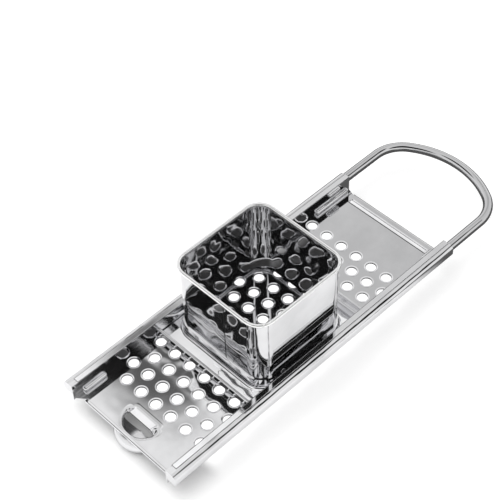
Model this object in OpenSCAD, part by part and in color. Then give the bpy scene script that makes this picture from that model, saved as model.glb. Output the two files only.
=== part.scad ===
// Spaetzle maker: a perforated steel plate with tubular side rails, a bent
// bar handle and a bottomless hopper that slides along the rails.
// X runs along the plate towards the handle, Y across it, Z up.
// The origin lies under the middle of the bounding box.

/* [Perforated plate] */
// Number of rows of holes along the plate
hole_rows = 16; // [14:1:20]
// Holes in each row
holes_per_row = 6; // [5:1:7]
// Diameter of a hole
hole_d = 7.4; // [5:0.1:8]
// Thickness of the plate
plate_t = 1; // [0.8:0.1:1.2]
// Bare plate between the last row of holes and the hook end
hook_end_l = 29.8; // [28.5:0.1:40]
// Bare plate between the last row of holes and the handle end
handle_end_l = 44.6; // [38:0.1:60]
// Outer radius of the edge rolled down at each end of the plate
edge_r = 2.2; // [1.6:0.1:3]

/* [Side rails] */
// Space between the hopper and each rail
rail_margin = 4.9; // [4:0.1:10]
// Height of a rail above the plate
rail_h = 12.6; // [12:0.1:16]
// Wall of the folded rails and of the other sheet pieces
sheet_t = 0.8; // [0.6:0.1:1]
// Outer radius of the long shoulder of a rail
rail_shoulder_r = 4; // [2:0.1:4.2]
// How far the rails reach past the plate at the hook end
rail_overhang = 4.2; // [0:0.1:8]
// How far a pressed stop stands into the channel
stop_depth = 2.2; // [1.2:0.1:2.6]
// Height of a pressed stop
stop_h = 3.6; // [3:0.1:4]
// Length of the stops at the hook end
hook_stop_l = 19; // [12:0.5:22]
// Length of the stops at the handle end
handle_stop_l = 33.5; // [20:0.5:34]

/* [Handle] */
// Diameter of the handle bar
bar_d = 7; // [5:0.1:7.2]
// Clearance between the bar and the rail around it
bar_gap = 0.2; // [0.1:0.05:0.3]
// How far the handle reaches past the rails
handle_reach = 71.2; // [60:0.1:100]
// Radius of the wide end of the handle, at the middle of the bar
handle_end_r = 65; // [60:0.5:90]
// Radius of the two corners of the handle, at the middle of the bar
handle_corner_r = 27; // [15:0.5:35]
// Length of each handle leg inside its rail
leg_insert = 55; // [30:1:90]

/* [Hopper] */
// Outer side of the square hopper
hopper_w = 78.4; // [60:0.2:79]
// Outer corner radius of the hopper
hopper_r = 11.6; // [8:0.2:16]
// Height of the hopper rim above the plate
hopper_h = 65.8; // [45:0.2:90]
// Diameter of the bead rolled along the rim
rim_d = 2.6; // [2:0.1:3]
// Where the hopper stands at rest, from the middle of the holes
hopper_rest = 0.8; // [-20:0.1:20]
// How far the upright joint in the hopper lies from the middle of its wall
joint_offset = -7.6; // [-15:0.1:15]

/* [Carriage] */
// How far the carriage reaches past the hopper at each end
carriage_reach = 14.7; // [10:0.1:18]
// Clearance between the carriage and each rail
side_gap = 0.7; // [0.5:0.05:1.2]
// Clearance between the carriage and the plate
under_gap = 0.4; // [0.3:0.05:0.8]
// Height of the carriage collar above the plate
collar_h = 9.4; // [7:0.1:12]
// Height of the two end lips above the plate
lip_h = 8.4; // [6:0.1:10]
// Diameter of the hem along the top of a lip
hem_d = 2.2; // [1.8:0.1:2.8]
// Inner radius of the bends in the carriage sheet
bend_r = 2.6; // [1.5:0.1:3]

/* [Pot hook] */
// Width of the mouth of the hook
hook_w = 26; // [18:0.5:30]
// Depth of the hook below the top of the plate
hook_depth = 13.3; // [10:0.1:16]
// Distance from the end of the plate to the mouth
hook_inset = 13.4; // [12:0.1:15]
// How far the belly of the hook bulges out past its mouth on every side
hook_bulge = 7; // [5:0.1:7]
// How far the ramp in front of the mouth rises above the plate
ramp_h = 1.4; // [0.5:0.1:2]

/* [Hidden] */
$fn = 48;
eps = 0.01;

// Widths that follow from the hopper
channel_w = hopper_w + 2 * rail_margin;
carriage_l = hopper_w + 2 * carriage_reach;

// Hole field, centred on x = 0 before the part is moved to its own frame
hole_pitch = channel_w / (holes_per_row + 0.3);
row_step = hole_pitch * sqrt(3) / 2;
field_x = (hole_rows - 1) * row_step / 2;
plate_x0 = -field_x - hook_end_l;
plate_x1 = field_x + handle_end_l;
groove_inset = 6.4;
groove_x = plate_x1 - groove_inset;
groove_w = 3.2;
groove_t = 0.8;
groove_l = channel_w - 15;
corner_cut = 6;

// Rails
wall_y = channel_w / 2;
rail_w = 2 * sheet_t + 2 * bar_gap + bar_d;
rail_low = rail_h - rail_w;
rail_x0 = plate_x0 - rail_overhang;
bar_y = wall_y + rail_w / 2;
bar_z = rail_h - rail_w / 2;
stop_low = 0.1;
hook_stop_x0 = plate_x0 + 3.9;
handle_stop_x1 = plate_x1 - 1.9;
top_stop_l = 12;
top_stop_h = 3.4;
top_stop_inset = 9;
top_stop_drop = 2.1;
foot_r = 2;

// Carriage
carriage_w = channel_w - 2 * side_gap;
floor_z = under_gap;
collar_w = hopper_w + 2 * sheet_t;
collar_r = hopper_r + sheet_t;
lip_bend = bend_r + sheet_t;
hopper_low = floor_z + lip_bend + 0.1;
seam_w = 0.35;
weld_d = 4;
weld_proud = 0.2;

// Handle
handle_far = plate_x1 + handle_reach;
arc_x = handle_far - bar_d / 2 - handle_end_r;
link_l = 2;
bar_step = 0.06;
bar_lap = 1;
corner_y = bar_y - handle_corner_r;
arc_drop = handle_end_r - handle_corner_r;
corner_x = arc_x + sqrt(pow(arc_drop, 2) + pow(link_l, 2) - pow(corner_y, 2));
corner_a = atan2(corner_y, corner_x - arc_x) - atan2(link_l, arc_drop);

// Hook, a round pocket cut off at the mouth
hook_x = plate_x0 + hook_inset;
bowl_x = hook_x + 2.8;
bowl_r = hook_w / 2;
belly_w = bowl_r + hook_bulge;
belly_top = 0.7;
belly_r = (hook_depth - belly_top) / 2;
belly_mid = belly_w - belly_r;
dish_w = 4.5;
dish_h = 1.1;
ramp_l = 8.6;
ramp_w = hook_w + 1;
ramp_slope = 4.5;
patch_edge = 8;
patch_w = hook_w + 2 * patch_edge;
patch_x1 = hook_x + ramp_l + 0.8;

// Frame shift that puts the origin under the middle of the box
frame_x = -(min(rail_x0, bowl_x - belly_w) + handle_far) / 2;
frame_z = hook_depth;

module in_frame() {
    translate([frame_x, 0, frame_z]) children();
}

// 2D square with rounded corners
module round_square(w, r) {
    square([w, w - 2 * r], center = true);
    square([w - 2 * r, w], center = true);
    for (sx = [-1, 1], sy = [-1, 1])
        translate([sx * (w / 2 - r), sy * (w / 2 - r)]) circle(r = r);
}

// Carries a 2D profile round a square of outer width w and corner radius r.
// In the profile x is the distance from the centre of a corner.
module sweep_square(w, r) {
    run = w - 2 * r;
    for (a = [0 : 90 : 270])
        rotate([0, 0, a]) {
            translate([run / 2, run / 2, 0]) rotate_extrude(angle = 90) children();
            translate([run / 2, run / 2, 0])
                rotate([90, 0, 0]) linear_extrude(height = run) children();
        }
}

// 2D quarter ring from straight down to straight sideways
module bend_profile(r_in, t) {
    intersection() {
        difference() {
            circle(r = r_in + t);
            circle(r = r_in);
        }
        translate([-r_in - t, -r_in - t]) square(r_in + t);
    }
}

module hole_field() {
    for (i = [0 : hole_rows - 1], j = [0 : holes_per_row - 1])
        translate([
            (i - (hole_rows - 1) / 2) * row_step,
            (j - (holes_per_row - 1) / 2 + (i % 2 == 0 ? -0.25 : 0.25)) * hole_pitch,
            -plate_t - eps
        ]) cylinder(d = hole_d, h = plate_t + 2 * eps);
}

// Round-ended ridge that lies along Y and stands h above z = 0
module cross_ridge(l, w, h) {
    intersection() {
        translate([0, 0, h - w / 2]) union() {
            rotate([90, 0, 0]) cylinder(d = w, h = l - w, center = true);
            for (s = [-1, 1]) translate([0, s * (l - w) / 2, 0]) sphere(d = w);
        }
        translate([-w, -l / 2, -h / 2]) cube([2 * w, l, 2 * h]);
    }
}

// Section of the plate along X between x0 and x1, with either end rolled down
module plate_section(x0, x1, roll0, roll1) {
    flat_x0 = x0 + (roll0 ? edge_r : 0);
    flat_x1 = x1 - (roll1 ? edge_r : 0);
    translate([flat_x0, -plate_t]) square([flat_x1 - flat_x0, plate_t]);
    if (roll0)
        translate([flat_x0, -edge_r]) mirror([0, 1]) bend_profile(edge_r - plate_t, plate_t);
    if (roll1)
        translate([flat_x1, -edge_r]) rotate(180) bend_profile(edge_r - plate_t, plate_t);
}

module plate_strip(w, x0, x1, roll0, roll1) {
    translate([0, w / 2, 0]) rotate([90, 0, 0]) linear_extrude(height = w)
        plate_section(x0, x1, roll0, roll1);
}

module perforated_plate() {
    flat_x0 = plate_x0 + edge_r;
    flat_x1 = plate_x1 - edge_r;
    edge_w = channel_w - 2 * corner_cut;
    color("silver") in_frame() difference() {
        union() {
            plate_strip(edge_w, plate_x0, plate_x1, true, true);
            translate([0, 0, -plate_t]) linear_extrude(height = plate_t)
                polygon([[flat_x0, edge_w / 2 - 1], [rail_x0 + 1, wall_y],
                         [plate_x1, wall_y], [flat_x1, edge_w / 2 - 1],
                         [flat_x1, 1 - edge_w / 2], [plate_x1, -wall_y],
                         [rail_x0 + 1, -wall_y], [flat_x0, 1 - edge_w / 2]]);
            translate([groove_x, 0, -plate_t]) mirror([0, 0, 1])
                cross_ridge(groove_l, groove_w + 1, groove_t);
        }
        hole_field();
        translate([groove_x, 0, 0]) mirror([0, 0, 1])
            cross_ridge(groove_l - 1, groove_w, groove_t);
        // room for the patch that carries the hook
        translate([plate_x0 - 1, -patch_w / 2, -edge_r - 1])
            cube([patch_x1 - plate_x0 + 1, patch_w, edge_r + 2]);
    }
}

// Outline of a rail, wall towards y = 0 and shoulder outwards
module rail_outline() {
    square([sheet_t, rail_h]);
    translate([0, -plate_t]) square([sheet_t, plate_t + 1]);
    translate([0, rail_low]) square([rail_w - rail_shoulder_r, rail_w]);
    translate([0, rail_low + foot_r]) square([rail_w, rail_w - foot_r - rail_shoulder_r]);
    translate([rail_w - rail_shoulder_r, rail_h - rail_shoulder_r]) circle(r = rail_shoulder_r);
    translate([rail_w - foot_r, rail_low + foot_r]) circle(r = foot_r);
    translate([0, rail_low]) square([rail_w - foot_r, foot_r]);
}

module rail_profile() {
    inner = bar_d + 2 * bar_gap;
    difference() {
        rail_outline();
        translate([sheet_t, rail_low + sheet_t]) difference() {
            square(inner);
            translate([inner - rail_shoulder_r + sheet_t, inner - rail_shoulder_r + sheet_t])
                difference() {
                    square(rail_shoulder_r);
                    circle(r = rail_shoulder_r - sheet_t);
                }
        }
    }
}

// Rounded stop pressed out of the rail wall, from x0 to x1
module pressed_stop(x0, x1, z, h) {
    intersection() {
        translate([0, -wall_y + stop_depth - h / 2, z]) union() {
            translate([x0 + h / 2, 0, 0]) rotate([0, 90, 0])
                cylinder(d = h, h = x1 - x0 - h);
            for (x = [x0 + h / 2, x1 - h / 2]) translate([x, 0, 0]) sphere(d = h);
        }
        translate([x0 - 1, -wall_y - sheet_t / 2, z - h])
            cube([x1 - x0 + 2, stop_depth + sheet_t / 2 + 1, 2 * h]);
    }
}

module rail() {
    low_z = stop_h / 2 + stop_low;
    top_x1 = handle_stop_x1 - top_stop_inset;
    translate([rail_x0, -wall_y, 0]) rotate([90, 0, 90])
        linear_extrude(height = plate_x1 - rail_x0) mirror([1, 0]) rail_profile();
    // folded-in end that closes the rail
    translate([rail_x0, -wall_y, 0]) rotate([90, 0, 90])
        linear_extrude(height = sheet_t) mirror([1, 0]) rail_outline();
    pressed_stop(hook_stop_x0, hook_stop_x0 + hook_stop_l, low_z, stop_h);
    pressed_stop(handle_stop_x1 - handle_stop_l, handle_stop_x1, low_z, stop_h);
    pressed_stop(top_x1 - top_stop_l, top_x1, rail_h - top_stop_drop, top_stop_h);
}

module right_rail() {
    color("silver") in_frame() rail();
}

module left_rail() {
    color("silver") in_frame() mirror([0, 1, 0]) rail();
}

// Half section of the pocket, drawn with its depth upwards. The neck is as wide
// as the mouth and the belly swells out below the plate.
module pocket_profile(t) {
    square([bowl_r + plate_t - t, hook_depth / 2]);
    translate([0, belly_top + t]) square([belly_mid, hook_depth - belly_top - 2 * t]);
    translate([belly_mid, belly_top + belly_r]) circle(r = belly_r - t);
}

// Part of the pocket behind the mouth
module pocket(t, over) {
    translate([bowl_x, 0, 0]) intersection() {
        mirror([0, 0, 1]) rotate_extrude() intersection() {
            pocket_profile(t);
            square([belly_w + 1, hook_depth + 1]);
        }
        translate([hook_x - bowl_x + over - 2 * belly_w, -belly_w - 1, -hook_depth - 1])
            cube([2 * belly_w, 2 * belly_w + 2, hook_depth + 2]);
    }
}

// Sheet in front of the mouth, ramped up towards it
module ramp() {
    half = ramp_w / 2;
    top = half - ramp_slope;
    intersection() {
        translate([0, half, 0]) rotate([90, 0, 0]) linear_extrude(height = ramp_w)
            polygon([[0, -0.5], [0, ramp_h], [ramp_l, 0], [ramp_l, -0.5]]);
        rotate([90, 0, 90]) linear_extrude(height = ramp_l)
            polygon([[-half, -0.5], [-half, 0], [-top, ramp_h + eps],
                     [top, ramp_h + eps], [half, 0], [half, -0.5]]);
    }
}

module pot_hook() {
    color("silver") in_frame() difference() {
        union() {
            plate_strip(patch_w, plate_x0, patch_x1, true, false);
            pocket(0, 0);
            translate([hook_x, 0, 0]) ramp();
        }
        pocket(plate_t, eps);
        // dished edge round the mouth
        translate([bowl_x, 0, 0]) intersection() {
            translate([0, 0, -dish_h]) cylinder(r1 = bowl_r, r2 = bowl_r + dish_w * 1.2,
                                               h = dish_h * 1.2);
            translate([hook_x - bowl_x - 3 * bowl_r, -2 * bowl_r, -dish_h])
                cube([3 * bowl_r, 4 * bowl_r, 2 * dish_h]);
        }
    }
}

// Straight stretch of bar along Z, a hair thinner than the bends it runs into
module bar_run(l) {
    cylinder(d = bar_d - bar_step, h = l + 2 * bar_lap, center = true);
}

// Bend of the bar about the origin, from angle a0 to a1
module bar_bend(r, a0, a1) {
    rotate([0, 0, a0]) rotate_extrude(angle = a1 - a0)
        translate([r, 0]) circle(d = bar_d);
}

module handle_side() {
    leg_l = corner_x - plate_x1 + leg_insert;
    translate([corner_x - leg_l / 2, bar_y, 0]) rotate([0, 90, 0]) bar_run(leg_l);
    translate([corner_x, corner_y, 0]) bar_bend(handle_corner_r, corner_a, 90);
    translate([arc_x, 0, 0]) rotate([0, 0, corner_a])
        translate([handle_end_r, link_l / 2, 0]) rotate([90, 0, 0]) bar_run(link_l);
}

module handle() {
    color("gainsboro") in_frame() translate([0, 0, bar_z]) {
        handle_side();
        mirror([0, 1, 0]) handle_side();
        translate([arc_x, 0, 0]) bar_bend(handle_end_r, -corner_a, corner_a);
    }
}

module hopper_shell() {
    r = hopper_r;
    color("gainsboro") in_frame() translate([hopper_rest, 0, 0]) difference() {
        sweep_square(hopper_w, r) {
            translate([r - sheet_t, hopper_low])
                square([sheet_t, hopper_h - rim_d / 2 - hopper_low]);
            translate([r + rim_d / 2 - sheet_t, hopper_h - rim_d / 2])
                circle(d = rim_d);
        }
        translate([-hopper_w / 2 - eps, joint_offset, collar_h])
            cube([sheet_t / 2, seam_w, hopper_h - rim_d - collar_h]);
    }
}

// Base sheet of the carriage with the collar that holds the hopper
module carriage_plate() {
    flat_l = carriage_l - 2 * lip_bend;
    throat = collar_w + 2 * bend_r;
    color("silver") in_frame() translate([hopper_rest, 0, 0]) {
        difference() {
            translate([-flat_l / 2, -carriage_w / 2, floor_z])
                cube([flat_l, carriage_w, sheet_t]);
            translate([0, 0, floor_z - 1]) linear_extrude(height = sheet_t + 2)
                round_square(throat, collar_r + bend_r);
        }
        sweep_square(collar_w, collar_r) {
            translate([collar_r - sheet_t, floor_z + lip_bend])
                square([sheet_t, collar_h - floor_z - lip_bend]);
            translate([collar_r + bend_r, floor_z + lip_bend])
                bend_profile(bend_r, sheet_t);
        }
    }
}

// Turned-up end of the carriage, hemmed along its top
module end_lip() {
    x0 = carriage_l / 2 - lip_bend;
    translate([0, carriage_w / 2, 0]) rotate([90, 0, 0]) linear_extrude(height = carriage_w) {
        translate([x0, floor_z + lip_bend]) mirror([1, 0]) bend_profile(bend_r, sheet_t);
        translate([carriage_l / 2 - sheet_t, floor_z + lip_bend])
            square([sheet_t, lip_h - hem_d / 2 - floor_z - lip_bend]);
        translate([carriage_l / 2 - hem_d / 2, lip_h - hem_d / 2]) circle(d = hem_d);
    }
}

module front_lip() {
    color("silver") in_frame() translate([hopper_rest, 0, 0]) end_lip();
}

module rear_lip() {
    color("silver") in_frame() translate([hopper_rest, 0, 0]) mirror([1, 0, 0]) end_lip();
}

// Two welds on each side join the collar to the hopper
module spot_welds() {
    weld_z = (collar_h + floor_z + lip_bend) / 2;
    color("darkgray") in_frame() translate([hopper_rest, 0, 0])
        for (a = [0 : 90 : 270], s = [-1, 1])
            rotate([0, 0, a]) translate([collar_w / 2, s * hopper_w / 4, weld_z])
                rotate([0, 90, 0]) cylinder(d = weld_d, h = weld_proud);
}

perforated_plate();
left_rail();
right_rail();
pot_hook();
handle();
hopper_shell();
carriage_plate();
rear_lip();
front_lip();
spot_welds();
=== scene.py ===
import math
import bmesh
import bpy
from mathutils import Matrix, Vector


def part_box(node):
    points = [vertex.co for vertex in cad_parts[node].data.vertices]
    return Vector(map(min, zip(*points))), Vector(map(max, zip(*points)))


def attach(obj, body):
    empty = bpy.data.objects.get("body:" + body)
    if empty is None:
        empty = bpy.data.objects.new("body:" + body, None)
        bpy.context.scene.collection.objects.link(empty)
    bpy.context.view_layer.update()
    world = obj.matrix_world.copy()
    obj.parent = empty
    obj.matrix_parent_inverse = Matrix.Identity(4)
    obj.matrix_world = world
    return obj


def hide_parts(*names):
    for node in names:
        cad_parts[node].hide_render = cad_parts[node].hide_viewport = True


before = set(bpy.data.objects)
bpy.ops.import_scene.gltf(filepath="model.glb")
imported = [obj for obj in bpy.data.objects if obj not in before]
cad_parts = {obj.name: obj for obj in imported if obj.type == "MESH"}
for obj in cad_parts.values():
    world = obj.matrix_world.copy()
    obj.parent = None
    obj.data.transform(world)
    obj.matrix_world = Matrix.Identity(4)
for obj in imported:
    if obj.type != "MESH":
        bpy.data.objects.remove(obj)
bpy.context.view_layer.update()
print("frame loaded:", len(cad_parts), "nodes")


# Wraps a shader socket, so that sums on it add Math nodes
class Sock:
    def __init__(self, net, socket):
        self.net = net
        self.socket = socket

    def _math(self, op, a, b=None):
        values = {0: a} if b is None else {0: a, 1: b}
        return self.net.add("ShaderNodeMath", {"operation": op}, values)[0]

    def __add__(self, o): return self._math("ADD", self, o)
    def __radd__(self, o): return self._math("ADD", o, self)
    def __sub__(self, o): return self._math("SUBTRACT", self, o)
    def __rsub__(self, o): return self._math("SUBTRACT", o, self)
    def __mul__(self, o): return self._math("MULTIPLY", self, o)
    def __rmul__(self, o): return self._math("MULTIPLY", o, self)
    def __truediv__(self, o): return self._math("DIVIDE", self, o)
    def __rtruediv__(self, o): return self._math("DIVIDE", o, self)
    def __pow__(self, o): return self._math("POWER", self, o)
    def __rpow__(self, o): return self._math("POWER", o, self)
    def size(self): return self._math("ABSOLUTE", self)
    def most(self, o): return self._math("MAXIMUM", self, o)
    def least(self, o): return self._math("MINIMUM", self, o)

    def step(self, low, high):  # smooth 0 to 1 as the value goes from low to high
        return self.net.add("ShaderNodeMapRange", {"interpolation_type": "SMOOTHSTEP"},
                            {"Value": self, "From Min": low, "From Max": high})["Result"]


# Outputs of a node, by name or number
class Outs:
    def __init__(self, net, node):
        self.net = net
        self.node = node

    def __getitem__(self, key):
        return Sock(self.net, self.node.outputs[key])


# Tree of shader nodes
class Net:
    def __init__(self, tree):
        self.tree = tree
        tree.nodes.clear()

    def add(self, kind, settings=None, values=None):
        node = self.tree.nodes.new(kind)
        for name, value in (settings or {}).items():
            setattr(node, name, value)
        for name, value in (values or {}).items():
            if isinstance(value, Sock):
                self.tree.links.new(value.socket, node.inputs[name])
            else:
                node.inputs[name].default_value = value
        return Outs(self, node)

    def mix(self, factor, a, b):
        return self.add("ShaderNodeMix", {"data_type": "RGBA"}, {0: factor, 6: a, 7: b})[2]

    def noise(self, coords, scale, detail=1.0):
        return self.add("ShaderNodeTexNoise", {}, {
            "Vector": coords, "Scale": scale, "Detail": detail, "Roughness": 0.5})["Fac"]

    def parts(self, coords):
        return self.add("ShaderNodeSeparateXYZ", {}, {0: coords})

    def stretch(self, coords, scale):
        return self.add("ShaderNodeVectorMath", {"operation": "MULTIPLY"},
                        {0: coords, 1: scale})[0]

    def dot(self, coords, direction):
        return self.add("ShaderNodeVectorMath", {"operation": "DOT_PRODUCT"},
                        {0: coords, 1: Vector(direction).normalized()})["Value"]


# Pieces are drawn in millimetres from the middle of the hole field, at the top of the plate
origin = Vector((-40.9, 0.0, 13.3))

# Unevenness of single pieces. The heights are in metres.
railLines = {"stretch": (0.12, 1.0, 1.0), "scale": 380.0, "detail": 2.0, "height": 0.00016}
hopperRipple = {
    "wide": (24.0, 0.0014), "fine": (55.0, 0.0004),        # noise scale and height
    "calm": 0.88, "calmFrom": -0.0386, "calmTo": -0.0389,  # the wall by the near rail is flatter
}
flangeFall = {
    "slope": -0.19, "start": 0.0392, "run": 0.0115,  # start is counted from the middle
    "middle": 0.8,                                   # in millimetres
    "wave": (70.0, 0.0003),                          # noise scale and height
}
plateWave = {
    "scale": 62.0, "calm": 0.00004, "beside": 0.00042,
    "middle": -50.0, "far": 24.0, "near": 8.0,       # the uneven place, in millimetres
}


def railRelief(net, coords):  # drawn lines that run along the rail
    r = railLines
    return net.noise(net.stretch(coords, r["stretch"]), r["scale"], r["detail"]) * r["height"]


def hopperRelief(net, coords):  # the walls ripple
    r = hopperRipple
    calm = 1 - r["calm"] * net.parts(coords)["Y"].step(r["calmFrom"], r["calmTo"])
    return calm * (net.noise(coords, r["wide"][0]) * r["wide"][1]
                   + net.noise(coords, r["fine"][0]) * r["fine"][1])


def carriageRelief(net, coords):  # the flange falls away from the hopper
    r = flangeFall
    scale, size = r["wave"]
    out = (net.parts(coords)["X"] - (origin.x + r["middle"]) / 1000).size() - r["start"]
    return r["slope"] * out.most(0.0).least(r["run"]) + net.noise(coords, scale) * size


def plateRelief(net, coords):  # the sheet is most uneven in front of the carriage
    r = plateWave
    middle = origin.x + r["middle"]
    beside = (net.parts(coords)["X"] * 1000 - middle).size().step(r["far"], r["near"])
    return net.noise(coords, r["scale"]) * (r["calm"] + beside * r["beside"])


# Polished steel that every finish starts from
steel = {
    "colour": (0.80, 0.80, 0.81), "dull": (0.70, 0.70, 0.71), "dullFrom": 0.35, "dullTo": 0.75,
    "cloudScale": 35.0, "cloudDetail": 4.0,
    "roughSpan": 0.05, "roughFrom": 0.45, "roughTo": 0.8,
    "lineScale": 900.0, "lineDetail": 2.0, "lineHeight": 0.0000002, "lineRough": 0.02,
    # colour, added roughness and soft edge of the painted highlight on the hopper's rim
    "paleColour": (0.98, 0.98, 0.98, 1), "paleRough": 0.22, "paleEdge": 0.0003,
}
plainFinish = {
    "grain": (1, 20, 20),             # how the fine lines are squeezed along each axis
    "rough": 0.03,
    "waves": ((22.0, 0.00015),),      # noise scale and height of each unevenness
    "tint": 1.0,
    "relief": None,
    "paleAbove": None,                # height above which the rim is painted near-white as a highlight and made rougher
}
finishes = {
    "plateSteel": {"relief": plateRelief},
    "sheetSteel": {"waves": ((30.0, 0.0006),)},
    "railSteel": {"relief": railRelief},
    # the hopper's rim is painted near-white as a highlight
    "hopperSteel": {"grain": (20, 20, 1), "waves": (), "relief": hopperRelief,
                    "paleAbove": 0.0765},
    "carriageSteel": {"grain": (20, 1, 20), "waves": (), "tint": 1.2, "relief": carriageRelief},
    "barSteel": {"waves": ((26.0, 0.0009),), "tint": 0.80},
    "weldSteel": {"grain": (5, 5, 5), "rough": 0.3, "waves": (), "tint": 0.8},
    # bright steel of the hole lips, also the painted highlight on the hook ramp's slope
    "lipAndHighlightSteel": {"grain": (5, 5, 5), "waves": (), "tint": 1.22},
    # painted shade: the inner roll of each hole's lip is painted dark
    "rollShadeSteel": {"grain": (5, 5, 5), "rough": 0.2, "waves": (), "tint": 0.32},
    "cutSteel": {"grain": (5, 5, 5), "rough": 0.55, "waves": (), "tint": 1.2},
    "hookSteel": {"rough": 0.24, "waves": (), "tint": 1.05},
    "stripSteel": {"rough": 0.05, "waves": (), "tint": 1.2},
    # nearly black: the dark joints of the hopper, and painted shade in the rail seam gaps, beside
    # the groove and on the hook ramp's cut edge
    "darkSeamAndShadeSteel": {"rough": 0.5, "waves": (), "tint": 0.04},
}
nodeFinish = {
    "perforated_plate": "plateSteel", "left_rail": "railSteel", "right_rail": "railSteel",
    "pot_hook": "plateSteel", "handle": "barSteel", "hopper_shell": "hopperSteel",
    "carriage_plate": "carriageSteel", "rear_lip": "sheetSteel", "front_lip": "sheetSteel",
    "spot_welds": "weldSteel",
}


def tinted(colour, tint):
    return [c * tint for c in colour] + [1]


def steelMaterial(name, finish):
    mat = bpy.data.materials.new(name)
    mat.use_nodes = True
    net = Net(mat.node_tree)
    coords = net.add("ShaderNodeTexCoord")["Object"]
    cloud = net.noise(coords, steel["cloudScale"], steel["cloudDetail"])
    lines = net.noise(net.stretch(coords, finish["grain"]), steel["lineScale"],
                      steel["lineDetail"])
    height = lines * steel["lineHeight"]
    for scale, size in finish["waves"]:
        height = height + net.noise(coords, scale) * size
    if finish["relief"] is not None:
        height = height + finish["relief"](net, coords)
    colour = net.mix(cloud.step(steel["dullFrom"], steel["dullTo"]),
                     tinted(steel["colour"], finish["tint"]), tinted(steel["dull"], finish["tint"]))
    base = finish["rough"]
    # painted highlight: above this height the rim is painted near-white and made rougher
    if finish["paleAbove"] is not None:
        top, edge = finish["paleAbove"], steel["paleEdge"]
        rimHighlight = net.parts(coords)["Z"].step(top - edge, top + edge)
        colour = net.mix(rimHighlight, colour, steel["paleColour"])
        base = base + rimHighlight * steel["paleRough"]
    patches = cloud.step(steel["roughFrom"], steel["roughTo"])
    roughness = base + steel["roughSpan"] * patches + steel["lineRough"] * lines
    bump = net.add("ShaderNodeBump", {}, {"Height": height, "Strength": 1.0, "Distance": 1.0})
    shader = net.add("ShaderNodeBsdfPrincipled", {}, {
        "Base Color": colour, "Metallic": 1.0, "Roughness": roughness, "Normal": bump["Normal"]})
    net.add("ShaderNodeOutputMaterial", {}, {"Surface": shader["BSDF"]})
    return mat


metals = {name: steelMaterial(name, {**plainFinish, **changes})
          for name, changes in finishes.items()}
for name, metal in nodeFinish.items():
    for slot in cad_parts[name].material_slots:
        slot.material = metals[metal]
print("steel finishes made")


# Helpers for the pieces
mergeGap = 0.000001  # points nearer than this become one


def place(x, y, z):
    return (Vector((x, y, z)) + origin) / 1000


# Cleans the mesh, gives it its metal and fixes it to its body
def finishPiece(mesh, bm, metal, body, sharp):
    bmesh.ops.remove_doubles(bm, verts=bm.verts, dist=mergeGap)
    bmesh.ops.recalc_face_normals(bm, faces=bm.faces)
    bm.to_mesh(mesh)
    bm.free()
    mesh.shade_smooth()
    if sharp is not None:
        mesh.set_sharp_from_angle(angle=math.radians(sharp))
    mesh.materials.append(metals[metal])
    piece = bpy.data.objects.new(mesh.name, mesh)
    bpy.context.scene.collection.objects.link(piece)
    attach(piece, body)
    return piece


def makePiece(name, verts, faces, metal, body, sharp=None):
    mesh = bpy.data.meshes.new(name)
    mesh.from_pydata([place(*v) for v in verts], [], faces)
    bm = bmesh.new()
    bm.from_mesh(mesh)
    return finishPiece(mesh, bm, metal, body, sharp)


def addMetals(piece, *names):
    for name in names:
        piece.data.materials.append(metals[name])


# Faces between rows of points, as (rows, points in a row)
def gridFaces(rows, cols, start=0, closeCols=False, closeRows=False):
    faces = []
    for i in range(rows if closeRows else rows - 1):
        for j in range(cols if closeCols else cols - 1):
            a, b = i * cols + j, i * cols + (j + 1) % cols
            nextRow = (i + 1) % rows * cols
            c, d = nextRow + (j + 1) % cols, nextRow + j
            faces.append((start + a, start + b, start + c, start + d))
    return faces


def barFaces(rows, cols):  # closed section carried along, with an end face at each end
    last = rows * cols
    return gridFaces(rows, cols, closeCols=True) + [
        tuple(range(cols)), tuple(range(last - 1, last - cols - 1, -1))]


def clamp01(value):
    return min(1.0, max(0.0, value))


def ease(value):
    return value * value * (3 - 2 * value)


# Raised lip that the punch leaves round each hole.
# Profile: distance from the hole's edge as a share of the width plus a length,
# height as a share of the lip's height plus a length, and the finish that starts there.
holes = {
    "rows": 16, "perRow": 6, "pitch": 14.0, "shift": 0.25, "radius": 3.7,
    "lipWidth": 1.12, "lipHeight": 0.30, "around": 36,
    # finish 1 is the inner roll of the lip, painted dark as shade
    "profile": [
        (1, 0.06, 0, -0.02, 0), (1, 0.04, 0.5, 0, 0), (1, -0.02, 0.94, 0, 0), (1, -0.08, 1, 0, 0),
        (1, -0.16, 0.96, 0, 0), (0, 0.32, 0.10, 0, 1), (0, 0.10, 0, -0.03, 1),
        (0, 0.02, 0, -0.10, 1), (0, -0.03, 0, -0.20, 2), (0, -0.04, 0, -0.5, 2),
        (0, -0.05, 0, -0.96, 2), (0, 0.1, 0, -1.03, 2), (0, 0.35, 0, -1.03, 2),
        (0, 0.45, 0, -0.9, 2)],
}


def holeCentres():
    k = holes
    step = k["pitch"] * math.sqrt(3) / 2
    for i in range(k["rows"]):
        shift = -k["shift"] if i % 2 == 0 else k["shift"]
        for j in range(k["perRow"]):
            yield ((i - (k["rows"] - 1) / 2) * step,
                   (j - (k["perRow"] - 1) / 2 + shift) * k["pitch"])


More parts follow.
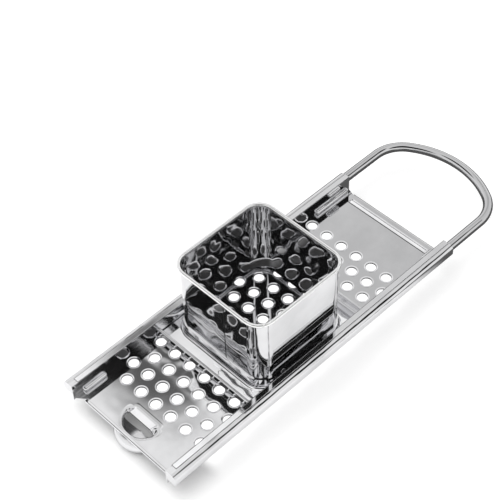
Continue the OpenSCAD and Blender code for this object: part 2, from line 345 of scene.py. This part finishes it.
def makeHoleLips():
    k = holes
    section = [(k["radius"] + wide * k["lipWidth"] + out, high * k["lipHeight"] + up)
               for wide, out, high, up, _ in k["profile"]]
    n = k["around"]
    verts, faces = [], []
    for cx, cy in holeCentres():
        start = len(verts)
        for radius, z in section:
            for j in range(n):
                a = 2 * math.pi * j / n
                verts.append((cx + radius * math.cos(a), cy + radius * math.sin(a), z))
        faces += gridFaces(len(section), n, start, closeCols=True, closeRows=True)
    lips = makePiece("hole_lips", verts, faces, "lipAndHighlightSteel", "base")
    # the second finish is the painted shade on the inner roll
    addMetals(lips, "rollShadeSteel", "cutSteel")
    for face in lips.data.polygons:
        face.material_index = k["profile"][face.index // n % len(section)][4]


# Flat strip folded over the top of each rail, with a slightly wider nearly black strip under it as
# painted shade in the seam gap
railTop = {
    "inner": 44.5, "outer": 48.2, "z": 12.6, "start": -119.5, "end": 135.2, "foot": -0.3,
    "bevel": ((0, 0.45), (0.3, 0.85), (1, 1), (1.2, 1)),  # shares of its width and height
    "parts": {  # how far it is wider, its height, the width of its bevel, its finish
        # painted shade: this part is a nearly black strip that stands in for the shadow in the gap
        "seamShade": (0.30, 0.03, 0.05, "darkSeamAndShadeSteel"),
        "strip": (0.0, 0.16, 0.22, "stripSteel")},
}


def makeRailTops():
    t = railTop
    for side, name in ((-1, "right"), (1, "left")):
        for part, (grow, z, e, metal) in t["parts"].items():
            y0, y1 = t["inner"] - grow, t["outer"] + grow
            low = [(0, t["foot"])] + [(e * across, z * up) for across, up in t["bevel"]]
            section = [(y0 + y, h) for y, h in low] + [(y1 - y, h) for y, h in reversed(low)]
            verts = [(x, side * y, t["z"] + h) for x in (t["start"] - grow, t["end"])
                     for y, h in section]
            makePiece(name + "_rail_" + part, verts, barFaces(2, len(section)), metal, "base",
                      sharp=40)


# Pocket pressed down at the end of the plate, open towards the handle
hook = {
    "mouthX": -107.33, "centreX": -104.53, "neck": 13.0, "sheet": 1.0, "around": 72,
    "plateX0": -120.73, "edge": 2.2, "edgeSteps": 12, "halfWidth": 21.0, "flatStart": 0.06,
    # rounded shoulder that leads down into the pocket
    "shoulder": 15.9, "shoulderLeast": 0.7, "shoulderSteps": 8, "shoulderDrop": 1.5,
    "shoulderEase": 1.3, "shoulderFall": 2.2, "rimGap": 0.1,
    # belly below the plate: a ring of its own radius, and the floor that rises to the middle
    "bellyMid": 13.7, "bellyZ": -7.0, "bellyR": 6.3, "bellySteps": 12, "bellyIn": (82, -90),
    "bellyOut": (-90, 70), "floorR": 12.5, "floorRise": 2.6, "floorFall": 1.5,
    "floorRings": (12.0, 10.5, 9.0, 7.5, 6.0, 4.5), "mouthGap": 0.01,
    # ramp in front of the mouth; the last two numbers pick the faces of its cut edge, painted dark
    # as shade, and of its slope, painted bright as a highlight
    "patchX1": -97.93, "rampSlope": 0.27, "rampRun": 5.0, "rampHalf": 12.9, "rampEdge": 3.4,
    "shoulderRun": 5.5, "rampRows": 34, "rampCols": 121, "cutFacing": -0.9, "rampFacing": 0.14,
}


def shoulderRadius(a):
    k = hook
    reach = k["centreX"] - k["plateX0"] - k["edge"] - k["rimGap"]
    reach = reach / max(abs(math.cos(a)), 0.01)  # never divided by nothing
    return max(k["neck"] + k["shoulderLeast"], min(k["shoulder"], reach))


def arc(start, end, steps):
    return [math.radians(start + (end - start) * i / steps) for i in range(steps + 1)]


# Rings of the pocket from the plate down and back up outside. Each ring: how far it
# follows the shoulder's outline, its radius and its height.
def pocketRings():
    k = hook
    rings = []
    for i in range(k["shoulderSteps"] + 1):
        u = i / k["shoulderSteps"]
        rings.append(((1 - u) ** k["shoulderEase"], k["neck"],
                      -k["shoulderDrop"] * u ** k["shoulderFall"]))
    middle = k["centreX"] - k["mouthX"] + k["mouthGap"]
    floorRings = list(k["floorRings"]) + [middle]

    def wall(r, angles):
        return [(0, k["bellyMid"] + r * math.cos(b), k["bellyZ"] + r * math.sin(b))
                for b in angles]

    def floor(r, radii):
        return [(0, w, k["bellyZ"] - r + k["floorRise"] * (1 - w / k["floorR"]) ** k["floorFall"])
                for w in radii]

    inner = k["bellyR"] - k["sheet"]
    rings += wall(inner, arc(*k["bellyIn"], k["bellySteps"])) + floor(inner, floorRings)
    rings += floor(k["bellyR"], reversed(floorRings))
    return rings + wall(k["bellyR"], arc(*k["bellyOut"], k["bellySteps"]))


def makeHookPocket():
    k = hook
    off = k["centreX"] - k["mouthX"]
    n = k["around"]
    rings = pocketRings()
    verts = []
    for spread, neck, z in rings:
        for j in range(n + 1):
            turn = 2 * j / n - 1
            a = math.pi + turn * math.pi / 2
            for _ in range(4):  # the cut lies at the mouth for every radius
                r = neck + spread * (shoulderRadius(a) - k["neck"])
                a = math.pi + turn * math.acos(min(1.0, off / max(r, off)))
            r = neck + spread * (shoulderRadius(a) - k["neck"])
            verts.append((k["centreX"] + r * math.cos(a), r * math.sin(a), z))
    m, first = len(rings), k["shoulderSteps"]
    faces = gridFaces(m, n + 1)
    # narrow faces at the cut close the sheet between its two sides
    faces += [tuple(i * (n + 1) for i in range(first, m)),
              tuple(i * (n + 1) + n for i in range(m - 1, first - 1, -1))]
    pocket = makePiece("hook_pocket", verts, faces, "hookSteel", "base", sharp=50)
    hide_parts("pot_hook")
    return verts[:n + 1]


# Flat sheet round the pocket, with the end of the plate rolled down
def makeHookSheet(rim):
    k = hook
    x0, half, edge = k["plateX0"] + k["edge"], k["halfWidth"], k["edge"]
    flat = x0 + k["flatStart"]
    side = 1 if rim[-1][1] > 0 else -1
    outline = [(k["mouthX"], rim[0][1], 0)] + [(x, y, 0) for x, y, _ in rim[1:-1]]
    outline += [(k["mouthX"], rim[-1][1], 0), (k["mouthX"], side * half, 0),
                (flat, side * half, 0), (flat, -side * half, 0), (k["mouthX"], -side * half, 0)]
    bm = bmesh.new()
    points = [bm.verts.new(place(*p)) for p in outline]
    edges = [bm.edges.new(pair) for pair in zip(points, points[1:] + points[:1])]
    bmesh.ops.triangle_fill(bm, edges=edges, use_beauty=True, normal=(0, 0, 1))
    roll = [(flat, 0.0)]
    for r, angles in ((edge, arc(0, 90, k["edgeSteps"])),
                      (edge - k["sheet"], arc(90, 0, k["edgeSteps"]))):
        roll += [(x0 - r * math.sin(a), -edge + r * math.cos(a)) for a in angles]
    grid = [[bm.verts.new(place(x, y, z)) for y in (-half, half)] for x, z in roll]
    for p, q in zip(grid, grid[1:]):
        bm.faces.new((p[0], p[1], q[1], q[0]))
    finishPiece(bpy.data.meshes.new("hook_sheet"), bm, "plateSteel", "base", 40)


def rampRise(s):  # height of the ramp at the distance s from the mouth
    k = hook
    rest = k["patchX1"] - k["mouthX"] - k["rampRun"]
    if s < k["rampRun"]:
        return k["rampSlope"] * (k["rampRun"] - s + rest / 2)
    return k["rampSlope"] * (rest - (s - k["rampRun"])) ** 2 / (2 * rest)


# Sheet in front of the mouth, swelling up to it
def makeHookRamp():
    k = hook
    cols, rows, half = k["rampCols"], k["rampRows"], k["halfWidth"]
    verts = []
    for shift in (0.0, -k["sheet"]):
        for i in range(rows):
            x = k["mouthX"] + (k["patchX1"] - k["mouthX"]) * i / (rows - 1)
            s = x - k["mouthX"]
            rise = rampRise(s)
            fade = ease(clamp01(1 - s / k["shoulderRun"]))
            for j in range(cols):
                y = -half + 2 * half * j / (cols - 1)
                across = ease(clamp01((k["rampHalf"] - abs(y)) / k["rampEdge"]))
                r = math.hypot(x - k["centreX"], y)
                share = clamp01((r - k["neck"]) / (k["shoulder"] - k["neck"]))
                down = 1 - share ** (1 / k["shoulderEase"])
                dip = k["shoulderDrop"] * down ** k["shoulderFall"]
                verts.append((x, y, rise * across - dip * (1 - across) * fade + shift))
    low = rows * cols
    faces = gridFaces(rows, cols) + gridFaces(rows, cols, low)
    faces += [(j, j + 1, low + j + 1, low + j) for j in range(cols - 1)]
    ramp = makePiece("hook_ramp", verts, faces, "plateSteel", "base", sharp=40)
    addMetals(ramp, "darkSeamAndShadeSteel", "lipAndHighlightSteel")
    for face in ramp.data.polygons:  # painted shade on the cut edge and painted highlight on the slope, picked by the way each face turns
        x = face.normal.x
        face.material_index = 1 if x < k["cutFacing"] else 2 if x > k["rampFacing"] else 0


# Shallow step pressed across the plate near the handle, and a nearly black line beside it as
# painted shade
groove = {
    "x0": 126.2, "x1": 130.7, "rise": 0.55, "crest": 128.4, "fall": 0.45, "turn": 129.9,
    "halfLength": 36.2, "round": 1.8, "foot": -0.6, "count": 41, "lineWidth": 0.5,
}


def makeGroove():
    g = groove
    x0, x1, crest, turn = g["x0"], g["x1"], g["crest"], g["turn"]
    section = [(x0, 0.02), (x0 + 0.15, 0.04), (crest - 0.15, g["rise"]), (crest, g["rise"]),
               (crest + 0.2, g["rise"] * 0.8), (turn - 0.15, -g["fall"]), (turn + 0.1, -g["fall"]),
               (x1 - 0.15, -0.02), (x1, 0.02), (x1, g["foot"]), (x0, g["foot"])]
    verts = []
    for i in range(g["count"]):
        u = -1 + 2 * i / (g["count"] - 1)
        y = g["halfLength"] * math.copysign(1 - (1 - abs(u)) ** 2, u)
        deep = min(1.0, (g["halfLength"] - abs(y)) / g["round"])
        deep = math.sqrt(max(0.0, 1 - (1 - deep) ** 2))  # the step runs out in a round end
        verts += [(x, y, z * deep if z > g["foot"] else z) for x, z in section]
    makePiece("groove_step", verts, barFaces(g["count"], len(section)), "stripSteel", "base",
              sharp=45)
    # painted shade: a nearly black strip beside the step
    line = x0 - g["lineWidth"]
    verts = [(x, side * g["halfLength"], z) for side in (-1, 1)
             for x, z in ((line, -0.05), (line, 0.03), (x0 + 0.1, 0.06), (x0 + 0.1, -0.05))]
    makePiece("groove_shade_line", verts, barFaces(2, 4), "darkSeamAndShadeSteel", "base", sharp=40)


# End of the plate turned down in a shallow bend
endFold = {"x1": -118.4, "x0": -120.9, "drop": 0.44, "low": -2.15, "halfWidth": 38.2}


def makeEndFold():
    e = endFold
    x0, x1, drop = e["x0"], e["x1"], e["drop"]
    section = [(x1, -0.1), (x1, 0.015), (x1 - 0.25, 0.0), (x0 + 0.35, -drop + 0.06),
               (x0 + 0.12, -drop - 0.06), (x0, -drop - 0.3), (x0, e["low"]),
               (x0 + 0.5, e["low"]), (x0 + 0.5, -1.2)]
    verts = [(x, y, z) for y in (-e["halfWidth"], e["halfWidth"]) for x, z in section]
    makePiece("end_fold", verts, barFaces(2, len(section)), "stripSteel", "base", sharp=30)


# Upright joint in the wall of the hopper, which runs on across the flange as an uneven line
joint = {
    "x": -38.4, "y": -7.6, "width": 1.25, "low": 9.6, "high": 63.3, "proud": 0.03, "inside": 0.2,
    "count": 28, "taper": 0.6,
    "uneven": (0.25, 1.7), "sway": (0.06, 0.9),  # size, and turn from one row to the next
    # its run across the flange
    "flangeStart": 4.2, "flangeRun": 8.4, "flangeLow": 1.0, "flangeTop": 1.25,
    "flangeCount": 12, "flangeTaper": 0.7, "flangeHalf": 0.16, "flangeDrift": 0.10,
    "flangeUneven": (0.24, 2.1), "flangeSway": (0.9, 1.3),
}


def waver(size, turn, i):
    return size * math.sin(i * turn)


def makeJoint():
    j = joint
    verts = []
    for i in range(j["count"]):
        z = j["low"] + (j["high"] - j["low"]) * i / (j["count"] - 1)
        half = j["width"] / 2 * (1 + waver(*j["uneven"], i))
        top = half * j["taper"]
        for y, x in ((-half, j["inside"]), (-top, -j["proud"]),
                     (top, -j["proud"]), (half, j["inside"])):
            verts.append((j["x"] + x, j["y"] + y + waver(*j["sway"], i), z))
    makePiece("hopper_joint", verts, barFaces(j["count"], 4), "darkSeamAndShadeSteel", "slider", sharp=60)
    verts = []
    for i in range(j["flangeCount"]):
        x = j["x"] - j["flangeStart"] - j["flangeRun"] * i / (j["flangeCount"] - 1)
        y = j["y"] - waver(*j["flangeSway"], i) - j["flangeDrift"] * i
        half = j["flangeHalf"] + abs(waver(*j["flangeUneven"], i))
        top = half * j["flangeTaper"]
        for across, z in ((-half, j["flangeLow"]), (-top, j["flangeTop"]),
                          (top, j["flangeTop"]), (half, j["flangeLow"])):
            verts.append((x, y + across, z))
    makePiece("flange_joint", verts, barFaces(j["flangeCount"], 4), "darkSeamAndShadeSteel", "slider",
              sharp=60)


makeHoleLips()
makeRailTops()
makeHookSheet(makeHookPocket())
makeHookRamp()
makeGroove()
makeEndFold()
makeJoint()
print("hole lips, rail tops, hook, groove, end fold and joint made")

# Floor and background. Distances are in metres.
studio = {
    "floorSize": 6.0,
    "floorColour": (0.86, 0.86, 0.86, 1),
    "lift": 0.30,          # extra brightness of the floor where the camera sees it
    "underLift": 0.75,     # painted light: the floor glows this much more under the holes of the plate, so that they stay white
    "underShade": 0.85,    # how much of the lift is lost under the rest of the plate
    "mirrorLift": 0.22,    # how much of the lift the polished steel mirrors
    "underDark": 0.75,     # painted shade: how much darker the steel mirrors the floor under the plate
    "handleDark": 0.85,    # painted shade: the same round the handle
    "ambient": 0.75,       # soft light from all round, which isn't mirrored
    "endEdge": (0.01, -0.01),      # soft edge of the part under the plate, at its ends
    "sideEdge": (0.02, -0.01),     # the same at its sides
    "holesFrom": (0.026, 0.036),   # where the holes begin, from the end of the plate
    "handleFrom": (-0.03, 0.01),   # where the painted shade round the handle begins
    "handleFar": (0.6, 0.3),       # where it ends
}


def makeFloor():
    k = studio
    mesh = bpy.data.meshes.new("floor")
    s = k["floorSize"] / 2
    mesh.from_pydata([(-s, -s, 0), (s, -s, 0), (s, s, 0), (-s, s, 0)], [], [(0, 1, 2, 3)])
    floor = bpy.data.objects.new("floor", mesh)
    bpy.context.scene.collection.objects.link(floor)
    mat = bpy.data.materials.new("paleFloor")
    mat.use_nodes = True
    net = Net(mat.node_tree)
    path = net.add("ShaderNodeLightPath")
    spot = net.parts(net.add("ShaderNodeTexCoord")["Object"])

    def between(value, base, edge):
        return value.step(base + edge[0], base + edge[1])

    low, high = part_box("perforated_plate")
    middle, half = (low + high) / 2, (high - low) / 2
    under = between((spot["X"] - middle.x).size(), half.x, k["endEdge"])
    under = under * between((spot["Y"] - middle.y).size(), half.y, k["sideEdge"])
    holed = under * between(spot["X"], low.x, k["holesFrom"])
    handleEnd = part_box("handle")[1].x
    byHandle = between(spot["X"], high.x, k["handleFrom"])
    byHandle = byHandle * between(spot["Y"].size(), 0.0, k["handleFar"])
    byHandle = byHandle * between(spot["X"], handleEnd, k["handleFar"])
    seen = path["Is Camera Ray"].most(path["Is Transmission Ray"])
    glossy = path["Is Glossy Ray"]
    # painted shade under the plate and painted glow under its holes, where the camera sees the
    # floor
    lift = k["lift"] * (1 - k["underShade"] * under * (1 - holed))
    lift = seen * (lift + holed * k["underLift"])
    # painted shade: the steel mirrors the floor darker under the plate and round the handle
    lift = lift + glossy * (1 - under) * (1 - byHandle) * k["mirrorLift"]
    dark = glossy * (under * k["underDark"]).most(byHandle * k["handleDark"])
    shade = net.mix(dark, k["floorColour"], (0, 0, 0, 1))
    diffuse = net.add("ShaderNodeBsdfDiffuse", {}, {"Color": shade})
    glow = net.add("ShaderNodeEmission", {}, {"Color": lift, "Strength": 1.0})
    both = net.add("ShaderNodeAddShader", {}, {0: diffuse["BSDF"], 1: glow["Emission"]})
    net.add("ShaderNodeOutputMaterial", {}, {"Surface": both["Shader"]})
    mesh.materials.append(mat)


# What the polished steel mirrors. Each card: middle, direction of its long side,
# half length and half width in degrees, soft edge (share of the size), brightness.
mirrorCards = [
    ((0.50, 0.45, 0.74), (1, 0, 0), 30, 16, 0.5, 0.66),
    ((0.30, 0.455, 0.838), (1, 0, 0), 7.5, 10, 0.6, 1.0),
    ((0.362, 0.487, 0.795), (1, 0, 0), 3.2, 3.6, 0.6, 0.12),
    ((0.454, -0.487, 0.746), (1, 0, 0), 13, 17, 0.4, 0.01),
    ((-0.46, 0.48, 0.75), (1, 0, 0), 16, 20, 0.35, 0.02),
    ((-0.454, -0.487, 0.746), (0, 0, 1), 22, 42, 0.2, 0.01),
    ((0.80, 0.44, 0.40), (0, 0, 1), 17, 15, 0.5, 1.0),
]
sky = {
    "horizon": 0.98, "overhead": 0.85, "upFrom": 0.3, "upTo": 0.8,
    "low": 0.06, "lowFrom": 0.03, "lowTo": 0.14,  # dark band along the horizon on one side
    "lowSide": (0.7, 0.7, 0), "lowSideFrom": -0.1, "lowSideTo": 0.4,
    "cardFront": 0.2,
}


def cardAmount(net, way, middle, side, halfLong, halfWide, soft):
    middle = Vector(middle).normalized()
    long = (Vector(side) - middle * middle.dot(Vector(side))).normalized()
    a = net.dot(way, long) / math.sin(math.radians(halfLong))
    b = net.dot(way, middle.cross(long)) / math.sin(math.radians(halfWide))
    away = (a * a + b * b) ** 0.5
    return away.step(1.0, 1.0 - soft) * net.dot(way, middle).step(0.0, sky["cardFront"])


def makeWorld():
    world = bpy.data.worlds.new("studio")
    bpy.context.scene.world = world
    world.use_nodes = True
    net = Net(world.node_tree)
    way = net.add("ShaderNodeTexCoord")["Generated"]
    path = net.add("ShaderNodeLightPath")
    climb = net.dot(way, (0, 0, 1))
    up = climb.step(sky["upFrom"], sky["upTo"])
    tone = sky["horizon"] * (1 - up) + sky["overhead"] * up
    for *card, level in mirrorCards:
        amount = cardAmount(net, way, *card)
        tone = tone * (1 - amount) + amount * level
    low = climb.step(sky["lowTo"], sky["lowFrom"])
    low = low * net.dot(way, sky["lowSide"]).step(sky["lowSideFrom"], sky["lowSideTo"])
    tone = tone * (1 - low) + low * sky["low"]
    glossy, seen = path["Is Glossy Ray"], path["Is Camera Ray"]
    level = glossy * tone + seen + (1 - glossy) * (1 - seen) * studio["ambient"]
    back = net.add("ShaderNodeBackground", {}, {"Color": level, "Strength": 1.0})
    net.add("ShaderNodeOutputWorld", {}, {"Surface": back["Background"]})


keyBox = {"place": (-0.25, 0.40, 1.25), "aim": (0, 0, 0), "size": 1.3, "power": 8.0}


def makeLamp():
    data = bpy.data.lights.new("keyBox", "AREA")
    data.size = keyBox["size"]
    data.energy = keyBox["power"]
    lamp = bpy.data.objects.new("keyBox", data)
    bpy.context.scene.collection.objects.link(lamp)
    lamp.location = keyBox["place"]
    way = Vector(keyBox["aim"]) - Vector(keyBox["place"])
    lamp.rotation_euler = way.to_track_quat("-Z", "Y").to_euler()
    lamp.visible_glossy = False  # the world holds what the steel mirrors


makeFloor()
makeWorld()
makeLamp()
print("floor, world and lamp made")

shot = {
    "place": (-0.43186, -0.41269, 0.72869), "turn": (41.691, 1.508, -44.662),
    "lens": 98.24, "sensor": 36.0,
}


def makeCamera():
    data = bpy.data.cameras.new("camera")
    data.lens = shot["lens"]
    data.sensor_width = shot["sensor"]
    camera = bpy.data.objects.new("camera", data)
    bpy.context.scene.collection.objects.link(camera)
    camera.location = shot["place"]
    camera.rotation_euler = [math.radians(a) for a in shot["turn"]]
    bpy.context.scene.camera = camera


makeCamera()
bpy.context.scene.view_settings.view_transform = "Standard"
print("camera set")
